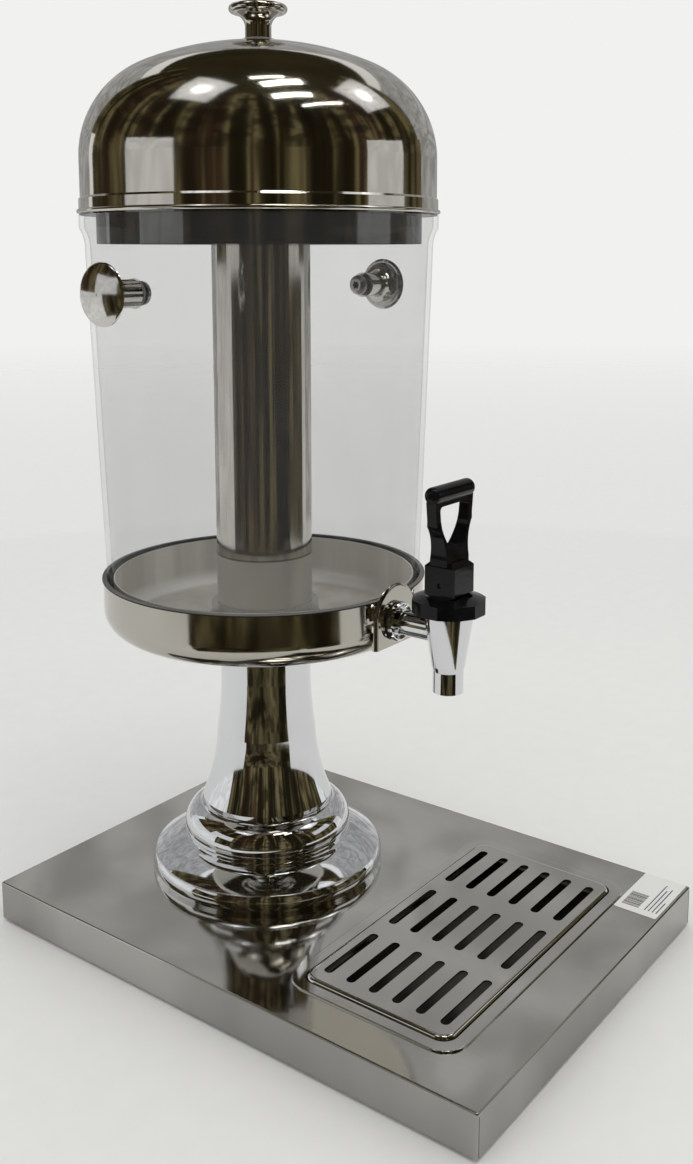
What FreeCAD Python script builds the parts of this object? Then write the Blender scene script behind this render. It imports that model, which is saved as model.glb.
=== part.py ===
"""Countertop juice dispenser: base with drip tray, pedestal, pan, ice tube, clear container, lid and tap.

Millimetres, +Z up, tap towards -Y.  The origin is the centre of the base, on the plane of the feet.
Heights in the sheet are measured from the lower edge of the base skirt, which the feet lift by foot_rise.
"""
import FreeCAD, Part
import math
import os
import re

import Sketcher
from FreeCAD import Placement, Rotation, Vector

WIRE_SIDES = 8

DIMENSIONS = {
    "base": {
        "foot_rise": 2.0, "foot_radius": 8.0, "foot_inset": 14.0,
        "base_width": 255.0, "base_depth": 350.0, "base_height": 24.0,
        "sheet": 1.2, "lip_width": 20.0, "base_bend": 1.2,
        "axis_back": 63.0,
        "plate_side": 96.0, "plate_thick": 3.0, "plate_hole": 5.4,
        "label_width": 48.0, "label_depth": 27.0, "label_thick": 0.15,
        "label_gap_side": 1.0, "label_gap_front": 2.0,
    },
    "drip tray": {
        "tray_back": -90.2, "tray_width": 205.0, "tray_depth": 110.5, "tray_corner": 14.0,
        "tray_flange": 7.0, "tray_sheet": 1.0, "tray_floor": 6.0, "tray_ledge": 3.0,
        "tray_ledge_drop": 6.2, "tray_gap": 1.0,
        "grate_gap": 0.7, "grate_rise": 2.8, "grate_sheet": 1.0, "grate_round": 2.6,
        "slot_length": 46.8, "slot_width": 5.5, "slot_pitch_x": 61.2, "slot_pitch_y": 15.15,
        "slot_rows": 6.0,
    },
    "pedestal": {
        "foot_wall": 2.0, "ring_low_radius": 74.0, "ring_low_edge": 72.6, "ring_low_edge_z": 35.0,
        "ring_low_shoulder": 54.5, "ring_low_top": 44.0,
        "ring_high_radius": 53.0, "ring_high_base_z": 47.5, "ring_high_top": 66.5, "ring_high_neck": 43.5,
        "neck_foot": 41.5, "neck_foot_z": 70.0, "neck_low": 31.5, "neck_low_z": 114.0,
        "neck_radius": 28.6, "neck_straight_z": 150.0, "neck_wall": 2.0,
        "rod_radius": 5.0, "rod_end_z": 6.0, "rod_nut_flat": 17.0, "rod_nut_height": 8.0,
        "rod_washer_radius": 14.0, "rod_washer_thick": 2.0, "fit_gap": 0.1,
    },
    "pan": {
        "pan_base_z": 183.8, "pan_rim_z": 217.0, "pan_radius": 100.3, "pan_wall": 0.8, "pan_corner": 15.0,
        "land_half_width": 20.0, "land_centre_z": 206.0, "land_face": 102.0, "land_thick": 3.2,
        "land_round": 2.2,
        "liner_radius": 94.0, "liner_wall": 0.9, "liner_rim_z": 217.0, "liner_floor_z": 186.0,
        "liner_corner": 9.0, "liner_flange_z": 211.2,
        "seal_base": 1.4, "seal_lip": 101.0, "seal_top_z": 218.0,
        "boss_flat": 19.0, "boss_height": 16.0,
    },
    "ice tube": {
        "tube_radius": 30.0, "tube_wall": 0.9, "tube_top_z": 447.0, "tube_floor": 1.5,
        "tube_seal_radius": 34.3, "tube_seal_height": 13.5, "tube_seal_foot": 36.5, "tube_seal_foot_height": 2.0,
        "tube_bolt_radius": 4.0, "tube_bolt_head": 8.0, "tube_bolt_head_height": 4.0,
        "tube_washer_radius": 12.0, "tube_washer_thick": 1.5,
    },
    "container": {
        "wall": 3.0, "can_foot_radius": 97.6, "can_neck_radius": 104.4, "can_neck_z": 417.0,
        "can_collar_radius": 107.5, "can_collar_z": 430.0, "can_top_z": 437.6,
        "knob_z": 394.0, "knob_hole": 2.6, "knob_face": 131.5, "knob_disc_radius": 17.2,
        "knob_disc_edge": 2.2, "knob_crown": 3.0, "knob_stem_radius": 7.7, "knob_stem_length": 18.0,
        "knob_washer_radius": 8.4, "knob_washer_thick": 0.8,
        "screw_radius": 2.4, "screw_head": 6.4, "screw_head_height": 3.2, "screw_length": 15.0,
    },
    "lid": {
        "lid_sheet": 0.9, "lid_bead_radius": 108.6, "lid_bead_z": 439.0, "lid_bead_tube": 1.5,
        "lid_band_radius": 107.3, "lid_band_top": 446.6, "lid_wall_radius": 106.4, "lid_wall_top": 470.0,
        "dome_shoulder": 59.0, "dome_top": 538.4,
        "skirt_radius": 97.5, "skirt_bottom": 420.8, "skirt_outer": 107.0,
        "lid_knob_radius": 17.2, "lid_knob_edge": 4.6, "lid_knob_dish": 1.2, "lid_knob_top": 559.6,
        "lid_knob_stem": 7.8, "lid_knob_waist_z": 548.0, "lid_knob_pad": 9.6, "lid_knob_pad_height": 2.0,
    },
    "tap": {
        "tap_reach": 138.0, "shank_z": 203.0, "shank_radius": 7.5, "shank_neck_radius": 6.3,
        "shank_bore": 4.5, "shank_end": 83.0,
        "cone_top": 14.4, "cone_top_z": 215.3, "spout_top_z": 183.5, "spout_top": 9.6, "spout_radius": 8.9,
        "spout_end_z": 168.0, "spout_bore": 6.4, "seat_z": 187.0, "tap_wall": 1.6,
        "neck_thread": 13.4, "neck_thread_top": 221.6,
        "bonnet_radius": 21.4, "bonnet_base_z": 215.3, "bonnet_edge_z": 222.8, "bonnet_top_z": 225.0,
        "bonnet_flat": 13.6, "bonnet_plate": 2.6, "stem_hole": 3.1,
        "stem_radius": 2.5, "stem_top": 3.6, "cup_radius": 7.6, "cup_height": 11.0,
        "spring_radius": 4.6, "spring_wire": 1.0, "spring_pitch": 4.0,
        "pin_rise": 7.0, "pin_radius": 1.5, "pin_gap": 0.05,
        "cam_flat": 5.5, "block_side": 20.0, "block_top_z": 245.5, "block_bevel": 3.0,
        "stem_slot": 5.8, "stem_slot_front": 8.4, "stem_slot_back": 5.4, "stem_slot_height": 12.0,
        "loop_half": 19.6, "loop_open_half": 14.6, "loop_waist": 11.5, "loop_top_z": 281.0,
        "loop_open_low_z": 249.5, "loop_open_mid_z": 262.0, "loop_open_top_z": 278.0,
        "loop_depth_low": 5.6, "loop_depth_top": 3.1, "bar_radius": 5.0, "bar_half": 20.6, "bar_z": 284.4,
        "ring_radius": 11.6, "ring_thick": 3.2, "ring_dish": 2.0, "ring_gasket": 10.8, "ring_gasket_thick": 0.8,
        "shank_nut_flat": 17.0, "shank_nut_height": 5.0, "shank_washer": 8.6, "shank_washer_face": 91.0,
    },
}

doc = FreeCAD.newDocument("juice_dispenser")
sheet = doc.addObject("Spreadsheet::Sheet", "Sheet")
row = 1
for group, values in DIMENSIONS.items():
    sheet.set(f"A{row}", group)
    row += 1
    for alias, value in values.items():
        sheet.set(f"A{row}", alias)
        sheet.set(f"B{row}", str(value))
        sheet.setAlias(f"B{row}", alias)
        row += 1
doc.recompute()
ALIASES = [alias for values in DIMENSIONS.values() for alias in values]
WORD = re.compile(r"\b(" + "|".join(ALIASES) + r")\b")
NODES = []


def bound(text):
    """An expression in which each driving dimension points to its cell."""
    return WORD.sub(r"Sheet.\1", str(text))


def size(text):
    """The present value of an expression of driving dimensions."""
    value = sheet.evalExpression(bound(text))
    return float(getattr(value, "Value", value))


def place(item, x="0", y="0", z="0", turn=None):
    """Binds an object's position to the sheet; z is a height above the skirt's lower edge."""
    item.Placement = Placement(Vector(size(x), size(y), size(f"foot_rise + ({z})")), turn or Rotation())
    item.setExpression(".Placement.Base.x", bound(x))
    item.setExpression(".Placement.Base.y", bound(y))
    item.setExpression(".Placement.Base.z", bound(f"foot_rise + ({z})"))


def new_body(label, x="0", y="0", z="0", turn=None):
    body = doc.addObject("PartDesign::Body", label)
    body.Label = label
    place(body, x, y, z, turn)
    NODES.append(body)
    return body


def new_sketch(body, plane, name, offset=None):
    """A sketch on one of the body's own origin planes, moved along its normal by an expression."""
    sketch = body.newObject("Sketcher::SketchObject", f"{body.Name}_{name}")
    origin = next(item for item in body.Origin.OriginFeatures if item.Role == plane)
    sketch.AttachmentSupport = [(origin, "")]
    sketch.MapMode = "FlatFace"
    if offset:
        sketch.setExpression(".AttachmentOffset.Base.z", bound(offset))
    return sketch


def fix_point(sketch, geometry, end, x, y):
    """Holds an end of a piece of geometry at two expressions from the sketch's origin."""
    for kind, axis, text in (("DistanceX", -2, x), ("DistanceY", -1, y)):
        value = size(text)
        if abs(value) < 1e-9:
            sketch.addConstraint(Sketcher.Constraint("PointOnObject", geometry, end, axis))
            continue
        index = sketch.addConstraint(Sketcher.Constraint(kind, -1, 1, geometry, end, value))
        sketch.setExpression(f"Constraints[{index}]", bound(text))


def arc_between(start, end, radius, side):
    """The arc from start to end whose centre lies to the left (+1) or right (-1) of the way."""
    chord = end - start
    reach = math.sqrt(max(radius**2 - (chord.Length / 2) ** 2, 0.0))
    across = Vector(-chord.y, chord.x, 0).normalize() * (side * reach)
    centre = (start + end) * 0.5 + across
    angles = [math.atan2(point.y - centre.y, point.x - centre.x) for point in (start, end)]
    circle = Part.Circle(centre, Vector(0, 0, 1), radius)
    first, last = angles if side > 0 else reversed(angles)
    return Part.ArcOfCircle(circle, first, last)


def outline(sketch, points):
    """A closed outline.  A point is (x, y) or (x, y, radius, side): the last two make an arc to the next point."""
    first = sketch.GeometryCount
    corners = [Vector(size(point[0]), size(point[1]), 0) for point in points]
    flips = []
    for index, point in enumerate(points):
        start, end = corners[index], corners[(index + 1) % len(points)]
        if len(point) == 4:
            sketch.addGeometry(arc_between(start, end, size(point[2]), point[3]), False)
        else:
            sketch.addGeometry(Part.LineSegment(start, end), False)
        flips.append(len(point) == 4 and point[3] < 0)
    count = len(points)
    for index in range(count):
        following = (index + 1) % count
        leaves = 1 if flips[index] else 2
        enters = 2 if flips[following] else 1
        sketch.addConstraint(Sketcher.Constraint("Coincident", first + index, leaves, first + following, enters))
    for index, point in enumerate(points):
        fix_point(sketch, first + index, 2 if flips[index] else 1, point[0], point[1])
        if len(point) == 4:
            value = Sketcher.Constraint("Radius", first + index, size(point[2]))
            constraint = sketch.addConstraint(value)
            sketch.setExpression(f"Constraints[{constraint}]", bound(point[2]))
    return sketch


def disc(sketch, x, y, radius):
    """A circle held at two expressions."""
    index = sketch.addGeometry(Part.Circle(Vector(size(x), size(y), 0), Vector(0, 0, 1), size(radius)), False)
    fix_point(sketch, index, 3, x, y)
    constraint = sketch.addConstraint(Sketcher.Constraint("Radius", index, size(radius)))
    sketch.setExpression(f"Constraints[{constraint}]", bound(radius))
    return sketch


def rounded(half_x, half_y, corner, centre_y="0", centre_x="0"):
    """The points of a rectangle with round corners, anticlockwise."""
    if size(corner) <= 0:
        return [(f"({centre_x}) + {sx}*({half_x})", f"({centre_y}) + {sy}*({half_y})")
                for sx, sy in ((-1, -1), (1, -1), (1, 1), (-1, 1))]
    inner_x, inner_y = f"(({half_x}) - ({corner}))", f"(({half_y}) - ({corner}))"
    points = []
    for sx, sy in ((1, -1), (1, 1), (-1, 1), (-1, -1)):
        side = (f"({centre_x}) + {sx}*({half_x})", f"({centre_y}) + {sy}*{inner_y}")
        end = (f"({centre_x}) + {sx}*{inner_x}", f"({centre_y}) + {sy}*({half_y})")
        arc_first = sx * sy < 0
        start, finish = (end, side) if arc_first else (side, end)
        points.append((*start, corner, 1))
        points.append(finish)
    return points


def extrude(body, sketch, name, length, kind="Pad", middle=False, back=False):
    feature = body.newObject(f"PartDesign::{kind}", f"{body.Name}_{name}")
    feature.Profile = sketch
    feature.Length = size(length)
    feature.setExpression("Length", bound(length))
    feature.Midplane = middle
    feature.Reversed = back
    sketch.Visibility = False
    return feature


def spin(body, points, name="turned", kind="Revolution"):
    """Turns an outline of (radius, height) points about the body's own Z axis."""
    sketch = outline(new_sketch(body, "XZ_Plane", f"{name}_outline"), points)
    feature = body.newObject(f"PartDesign::{kind}", f"{body.Name}_{name}")
    feature.Profile = sketch
    feature.ReferenceAxis = (sketch, ["V_Axis"])
    feature.Angle = 360.0
    return feature


def cap_radius(half_width, rise):
    """The radius of a cap of a half width and a rise, centred on the axis."""
    return f"(({half_width})^2 + ({rise})^2) / (2*({rise}))"


def fillet(body, name, radius, wanted, kind="Fillet"):
    """Rounds or bevels the edges of the body's tip for which wanted(edge) holds."""
    doc.recompute()
    base = body.Tip
    edges = [f"Edge{number + 1}" for number, edge in enumerate(base.Shape.Edges) if wanted(edge)]
    if not edges:
        raise ValueError(f"{body.Label}: {name} finds no edge")
    feature = body.newObject(f"PartDesign::{kind}", f"{body.Name}_{name}")
    feature.Base = (base, edges)
    field = "Radius" if kind == "Fillet" else "Size"
    setattr(feature, field, size(radius))
    feature.setExpression(field, bound(radius))
    doc.recompute()
    return feature


def washer(label, inner, outer, low, high, **where):
    """A plain ring about the body's own Z axis."""
    body = new_body(label, **where)
    spin(body, [(inner, low), (outer, low), (outer, high), (inner, high)])
    return body


def hexagon(half_flat):
    """The corners of a hexagon of a half width across flats, anticlockwise."""
    return [(f"({half_flat}) / cos(30 deg) * cos({60 * step} deg)",
             f"({half_flat}) / cos(30 deg) * sin({60 * step} deg)") for step in range(6)]


def nut(label, half_flat, bore, low, height, **where):
    """A hexagon nut about the body's own Z axis."""
    body = new_body(label, **where)
    sketch = outline(new_sketch(body, "XY_Plane", "hexagon", low), hexagon(half_flat))
    disc(sketch, "0", "0", bore)
    extrude(body, sketch, "prism", height)
    return body


def bolt(label, shank, head, head_low, head_height, tip, **where):
    """A round headed bolt on the body's own Z axis, from its tip up to its head."""
    body = new_body(label, **where)
    spin(body, [("0", tip), (shank, tip), (shank, head_low), (head, head_low),
                (head, f"({head_low}) + ({head_height})*0.6"),
                (f"({head})*0.7", f"({head_low}) + ({head_height})"), ("0", f"({head_low}) + ({head_height})")])
    recess = outline(new_sketch(body, "XY_Plane", "recess", f"({head_low}) + ({head_height})"),
                     hexagon(f"({head})*0.34"))
    extrude(body, recess, "socket", f"({head_height})*0.55", kind="Pocket")
    return body


ON_AXIS = {"y": "axis_back"}
TOWARDS_TAP = Rotation(Vector(1, 0, 0), 90)
SHANK_LINE = {"y": "axis_back", "z": "shank_z", "turn": TOWARDS_TAP}


# ---- base ----------------------------------------------------------------------------------------
def make_base_shell():
    """A folded sheet box, open below, with an inward lip and holes for the tray and the tie rod."""
    body = new_body("base_shell")
    half_x, half_y = "base_width/2", "base_depth/2"
    box = outline(new_sketch(body, "XY_Plane", "plan"), rounded(half_x, half_y, "0"))
    extrude(body, box, "block", "base_height")
    fillet(body, "bends", "base_bend", lambda edge: edge.BoundBox.ZMax > size("base_height") - 0.01)
    cavity = outline(new_sketch(body, "XY_Plane", "cavity", "sheet"),
                     rounded(f"{half_x} - sheet", f"{half_y} - sheet", "0"))
    extrude(body, cavity, "hollow", "base_height - 2*sheet", kind="Pocket", back=True)
    mouth = outline(new_sketch(body, "XY_Plane", "mouth"),
                    rounded(f"{half_x} - lip_width", f"{half_y} - lip_width", "6"))
    extrude(body, mouth, "opening", "sheet*2", kind="Pocket", back=True)
    seat = outline(new_sketch(body, "XY_Plane", "tray_seat", "base_height"),
                   rounded("tray_width/2 - tray_flange + tray_sheet + tray_gap",
                           "tray_depth/2 - tray_flange + tray_sheet + tray_gap", "tray_corner - 3", "tray_back"))
    extrude(body, seat, "tray_opening", "sheet*2", kind="Pocket")
    hole = disc(new_sketch(body, "XY_Plane", "rod_seat", "base_height"), "0", "axis_back", "plate_hole")
    extrude(body, hole, "rod_hole", "sheet*2", kind="Pocket")


def make_backing_plate():
    """The stiffener under the pedestal."""
    body = new_body("backing_plate", **ON_AXIS)
    sketch = outline(new_sketch(body, "XY_Plane", "plan", "base_height - sheet - plate_thick"),
                     rounded("plate_side/2", "plate_side/2", "6"))
    disc(sketch, "0", "0", "plate_hole")
    extrude(body, sketch, "plate", "plate_thick")


def make_feet():
    """Four rubber feet under the lip, named by corner."""
    for side, sx in (("left", -1), ("right", 1)):
        for end, sy in (("front", -1), ("rear", 1)):
            body = new_body(f"rubber_foot_{end}_{side}", x=f"{sx}*(base_width/2 - foot_inset)",
                            y=f"{sy}*(base_depth/2 - foot_inset)", z="-foot_rise")
            spin(body, [("0", "0"), ("foot_radius*0.88", "0"), ("foot_radius", "foot_rise*0.6"),
                        ("foot_radius", "foot_rise"), ("0", "foot_rise")])


def make_label():
    """A blank sticker on the front right corner of the base."""
    body = new_body("blank_label", x="base_width/2 - label_gap_side - label_width/2",
                    y="label_gap_front + label_depth/2 - base_depth/2", z="base_height")
    sketch = outline(new_sketch(body, "XY_Plane", "plan"), rounded("label_width/2", "label_depth/2", "1.2"))
    extrude(body, sketch, "paper", "label_thick")


def make_tray():
    """The drip tray: a flange on the base, a ledge for the grate and a sunk floor."""
    body = new_body("drip_tray", y="tray_back")
    opening_x, opening_y = "tray_width/2 - tray_flange", "tray_depth/2 - tray_flange"
    plan = outline(new_sketch(body, "XY_Plane", "flange_plan", "base_height"),
                   rounded("tray_width/2", "tray_depth/2", "tray_corner"))
    extrude(body, plan, "flange", "tray_sheet")
    upper = outline(new_sketch(body, "XY_Plane", "upper_plan", "base_height - tray_ledge_drop - tray_sheet"),
                    rounded(f"{opening_x} + tray_sheet", f"{opening_y} + tray_sheet", "tray_corner - 4"))
    extrude(body, upper, "upper_well", "tray_ledge_drop + tray_sheet")
    lower = outline(new_sketch(body, "XY_Plane", "lower_plan", "tray_floor - tray_sheet"),
                    rounded(f"{opening_x} - tray_ledge + tray_sheet", f"{opening_y} - tray_ledge + tray_sheet",
                            "tray_corner - 6"))
    extrude(body, lower, "lower_well", "base_height - tray_floor")
    rest = outline(new_sketch(body, "XY_Plane", "rest_plan", "base_height - tray_ledge_drop"),
                   rounded(opening_x, opening_y, "tray_corner - 5"))
    extrude(body, rest, "grate_rest", "tray_ledge_drop + tray_sheet*2", kind="Pocket", back=True)
    well = outline(new_sketch(body, "XY_Plane", "well_plan", "tray_floor"),
                   rounded(f"{opening_x} - tray_ledge", f"{opening_y} - tray_ledge", "tray_corner - 7"))
    extrude(body, well, "well", "base_height", kind="Pocket", back=True)
    top, out_x, out_y = (size(text) for text in ("base_height + tray_sheet", f"{opening_x} + 2", f"{opening_y} + 2"))

    def on_rim(edge):
        box = edge.BoundBox
        reach_x, reach_y = (max(abs(low), abs(high)) for low, high in ((box.XMin, box.XMax), (box.YMin, box.YMax)))
        return box.ZMin > top - 0.01 and (reach_x > out_x or reach_y > out_y)

    fillet(body, "flange_edge", "tray_sheet*0.6", on_rim)


def make_grate():
    """The slotted grate: a flat top with a turned down edge."""
    body = new_body("drip_grate", y="tray_back")
    half_x = "(tray_width/2 - tray_flange - grate_gap)"
    half_y = "(tray_depth/2 - tray_flange - grate_gap)"
    low = "base_height - tray_ledge_drop"
    top = "base_height + grate_rise"
    plan = outline(new_sketch(body, "XY_Plane", "plan", low), rounded(half_x, half_y, "tray_corner - 5.5"))
    extrude(body, plan, "block", f"({top}) - ({low})")
    top_z = size(top)
    fillet(body, "round_edge", "grate_round", lambda edge: edge.BoundBox.ZMin > top_z - 0.01)
    inner = outline(new_sketch(body, "XY_Plane", "inner_plan", low),
                    rounded(f"{half_x} - grate_sheet", f"{half_y} - grate_sheet", "tray_corner - 6.5"))
    extrude(body, inner, "hollow", f"({top}) - ({low}) - grate_sheet", kind="Pocket", back=True)
    slots = new_sketch(body, "XY_Plane", "slot_plan", top)
    first_y = "-slot_pitch_y*(slot_rows - 1)/2"
    for column in (-1, 0, 1):
        outline(slots, rounded("slot_length/2", "slot_width/2", "slot_width/2 - 0.02", first_y,
                               f"{column}*slot_pitch_x"))
    row_cut = extrude(body, slots, "slot_row", "grate_sheet*3", kind="Pocket")
    doc.recompute()
    rows = body.newObject("PartDesign::LinearPattern", "drip_grate_slot_rows")
    rows.Originals = [row_cut]
    rows.Direction = (slots, ["V_Axis"])
    rows.Length = size("slot_pitch_y*(slot_rows - 1)")
    rows.setExpression("Length", bound("slot_pitch_y*(slot_rows - 1)"))
    rows.Occurrences = int(size("slot_rows"))
    body.Tip = rows


# ---- pedestal ------------------------------------------------------------------------------------
def make_pedestal():
    """Three turned shells, stacked, and the tie rod that clamps them between base and pan."""
    foot = new_body("pedestal_foot_ring", **ON_AXIS)
    spin(foot, [("ring_low_radius - foot_wall", "base_height"), ("ring_low_radius - 1.5", "base_height"),
                ("ring_low_radius", "base_height + 2.5", "9", 1),
                ("ring_low_edge", "ring_low_edge_z - 0.8", "0.7", 1), ("ring_low_edge - 0.7", "ring_low_edge_z", "60", 1),
                ("ring_low_shoulder", "ring_low_top - 1.6", "8", -1),
                ("ring_high_radius - 2", "ring_low_top"), ("ring_high_neck - 9", "ring_low_top"),
                ("ring_high_neck - 9", "ring_low_top - foot_wall"),
                ("ring_low_shoulder - 1", "ring_low_top - foot_wall - 1.6"),
                ("ring_low_edge - foot_wall", "ring_low_edge_z - foot_wall - 1.4")])
    collar = new_body("pedestal_collar_ring", **ON_AXIS)
    spin(collar, [("ring_high_radius - 2 - foot_wall", "ring_low_top"), ("ring_high_radius - 2", "ring_low_top"),
                  ("ring_high_radius - 1.2", "ring_high_base_z - 1"),
                  ("ring_high_radius", "ring_high_base_z + 0.5", "15", 1),
                  ("ring_high_neck + 1.2", "ring_high_top - 1.6", "4", -1),
                  ("ring_high_neck - 1.2", "ring_high_top"), ("ring_high_neck - 9", "ring_high_top"),
                  ("ring_high_neck - 9", "ring_high_top - foot_wall"),
                  ("ring_high_neck - 1", "ring_high_top - foot_wall - 1", "14", -1),
                  ("ring_high_radius - foot_wall - 1", "ring_high_base_z + 1")])
    neck = new_body("pedestal_neck", **ON_AXIS)
    spin(neck, [("neck_foot - neck_wall - 0.5", "ring_high_top"), ("neck_foot - 0.6", "ring_high_top"),
                ("neck_foot", "neck_foot_z - 2.6"), ("neck_foot", "neck_foot_z", "120", -1),
                ("neck_low", "neck_low_z", "260", -1),
                ("neck_radius", "neck_straight_z"), ("neck_radius", "pan_base_z"),
                ("neck_radius - neck_wall", "pan_base_z"),
                ("neck_radius - neck_wall", "neck_straight_z", "258", 1),
                ("neck_low - neck_wall", "neck_low_z", "118", 1),
                ("neck_foot - neck_wall - 0.5", "neck_foot_z")])
    rod = new_body("tie_rod", **ON_AXIS)
    spin(rod, [("0", "rod_end_z"), ("rod_radius - 0.8", "rod_end_z"), ("rod_radius", "rod_end_z + 1"),
               ("rod_radius", "pan_base_z - boss_height/2"), ("0", "pan_base_z - boss_height/2")])
    plate_low = "base_height - sheet - plate_thick"
    washer("tie_rod_washer", "rod_radius + fit_gap", "rod_washer_radius",
           f"{plate_low} - rod_washer_thick", plate_low, **ON_AXIS)
    nut("tie_rod_nut", "rod_nut_flat/2", "rod_radius + fit_gap",
        f"{plate_low} - rod_washer_thick - rod_nut_height", "rod_nut_height", **ON_AXIS)


# ---- pan -----------------------------------------------------------------------------------------
def make_pan():
    """The polished outer pan, with an upright land at the front for the tap."""
    body = new_body("pan", **ON_AXIS)
    sketch = new_sketch(body, "XZ_Plane", "land_outline", "land_face - land_thick")
    top = "land_centre_z"
    outline(sketch, [("-land_half_width", "pan_base_z + 5"), ("land_half_width", "pan_base_z + 5"),
                     ("land_half_width", top, "land_half_width", 1),
                     ("0", f"{top} + land_half_width", "land_half_width", 1), ("-land_half_width", top)])
    extrude(body, sketch, "land", "land_thick")
    face = -size("land_face")
    fillet(body, "land_edge", "land_round", lambda edge: edge.BoundBox.YMax < face + 0.01
           and edge.BoundBox.ZMax > size("pan_base_z + 6"))
    spin(body, [("0", "pan_base_z"), ("pan_radius - pan_corner", "pan_base_z", "pan_corner", 1),
                ("pan_radius", "pan_base_z + pan_corner"), ("pan_radius", "pan_rim_z"), ("0", "pan_rim_z")], "shell")
    spin(body, [("0", "pan_base_z + pan_wall"),
                ("pan_radius - pan_corner", "pan_base_z + pan_wall", "pan_corner - pan_wall", 1),
                ("pan_radius - pan_wall", "pan_base_z + pan_corner"), ("pan_radius - pan_wall", "pan_rim_z + 1"),
                ("0", "pan_rim_z + 1")], "hollow", kind="Groove")
    spin(body, [("0", "pan_rim_z"), ("seal_lip + 0.3", "pan_rim_z"), ("seal_lip + 0.3", "pan_rim_z + 30"),
                ("0", "pan_rim_z + 30")], "seal_room", kind="Groove")
    bore = disc(new_sketch(body, "XZ_Plane", "bore_plan", "land_face"), "0", "shank_z", "shank_neck_radius + 0.2")
    extrude(body, bore, "bore", "land_thick*3", kind="Pocket")
    drain = disc(new_sketch(body, "XY_Plane", "bolt_plan", "pan_base_z + pan_wall"), "0", "0",
                 "tube_bolt_radius + 0.3")
    extrude(body, drain, "bolt_hole", "pan_wall*3", kind="Pocket")


def make_liner():
    """The brushed inner dish; its flange carries the seal and the container."""
    body = new_body("pan_liner", **ON_AXIS)
    outer, inner = "liner_radius", "liner_radius - liner_wall"
    spin(body, [("tube_bolt_radius + 0.3", "pan_base_z + pan_wall"),
                ("liner_radius - liner_corner", "pan_base_z + pan_wall", "liner_corner", 1),
                (outer, "pan_base_z + pan_wall + liner_corner"), (outer, "liner_flange_z - liner_wall"),
                ("pan_radius - pan_wall", "liner_flange_z - liner_wall"), ("pan_radius - pan_wall", "liner_flange_z"),
                (outer, "liner_flange_z"), (outer, "liner_rim_z"), (inner, "liner_rim_z"),
                (inner, "liner_floor_z + liner_corner", "liner_corner", -1),
                ("liner_radius - liner_corner - liner_wall", "liner_floor_z"),
                ("tube_bolt_radius + 0.3", "liner_floor_z")])
    bore = disc(new_sketch(body, "XZ_Plane", "bore_plan", "land_face"), "0", "shank_z", "shank_neck_radius + 0.2")
    extrude(body, bore, "bore", "land_thick*6", kind="Pocket")


def make_seal():
    """The black seal between pan and container."""
    body = new_body("pan_seal", **ON_AXIS)
    low = "liner_flange_z"
    spin(body, [("liner_radius + 0.2", low), ("pan_radius - pan_wall", low), ("pan_radius - pan_wall", "pan_rim_z"),
                ("seal_lip", "pan_rim_z"), ("seal_lip", "seal_top_z - 0.6", "0.8", 1),
                ("seal_lip - 0.8", "seal_top_z"), ("can_foot_radius + 0.5", "seal_top_z"),
                ("can_foot_radius + 0.35", f"{low} + seal_base"), ("liner_radius + 0.2", f"{low} + seal_base")])


def make_boss():
    """The long nut welded under the pan; the tie rod enters it from below, the tube bolt from above."""
    nut("clamp_boss", "boss_flat/2", "rod_radius + fit_gap", "pan_base_z - boss_height", "boss_height", **ON_AXIS)


# ---- ice tube ------------------------------------------------------------------------------------
def make_ice_tube():
    """The closed steel tube for ice, with its clear foot seal and the bolt that holds it."""
    body = new_body("ice_tube", **ON_AXIS)
    floor = "liner_floor_z"
    inner = "tube_radius - tube_wall"
    spin(body, [("tube_bolt_radius + 0.3", floor), ("tube_radius", floor), ("tube_radius", "tube_top_z"),
                (inner, "tube_top_z"), (inner, f"{floor} + tube_floor"),
                ("tube_bolt_radius + 0.3", f"{floor} + tube_floor")])
    seal = new_body("ice_tube_seal", **ON_AXIS)
    spin(seal, [("tube_radius", floor), ("tube_seal_foot", floor),
                ("tube_seal_foot", f"{floor} + tube_seal_foot_height"),
                ("tube_seal_radius", f"{floor} + tube_seal_foot_height + 1"),
                ("tube_seal_radius - 0.6", f"{floor} + tube_seal_height - 1.5"),
                ("tube_radius + 1.2", f"{floor} + tube_seal_height"), ("tube_radius", f"{floor} + tube_seal_height")])
    washer_low = f"{floor} + tube_floor"
    washer("ice_tube_washer", "tube_bolt_radius + fit_gap", "tube_washer_radius", washer_low,
           f"{washer_low} + tube_washer_thick", **ON_AXIS)
    bolt("ice_tube_bolt", "tube_bolt_radius", "tube_bolt_head", f"{washer_low} + tube_washer_thick",
         "tube_bolt_head_height", "pan_base_z - boss_height/2 + 1", **ON_AXIS)


# ---- container -----------------------------------------------------------------------------------
def make_container():
    """The clear container: a drafted wall, a flare and a collar for the lid, with two holes for the knobs."""
    body = new_body("container", **ON_AXIS)
    low = "liner_flange_z + seal_base"
    spin(body, [("can_foot_radius - wall", low), ("can_foot_radius", low), ("can_foot_radius + 0.15", "pan_rim_z + 3"),
                ("can_neck_radius", "can_neck_z", "22", -1), ("can_collar_radius", "can_collar_z"),
                ("can_collar_radius", "can_top_z"), ("can_collar_radius - wall", "can_top_z"),
                ("can_collar_radius - wall", "can_collar_z", "24", 1), ("can_neck_radius - wall", "can_neck_z"),
                ("can_foot_radius + 0.15 - wall", "pan_rim_z + 3")])
    hole = disc(new_sketch(body, "YZ_Plane", "knob_holes"), "0", "knob_z", "knob_hole")
    extrude(body, hole, "knob_hole", "can_neck_radius*4", kind="Pocket", middle=True)


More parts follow.
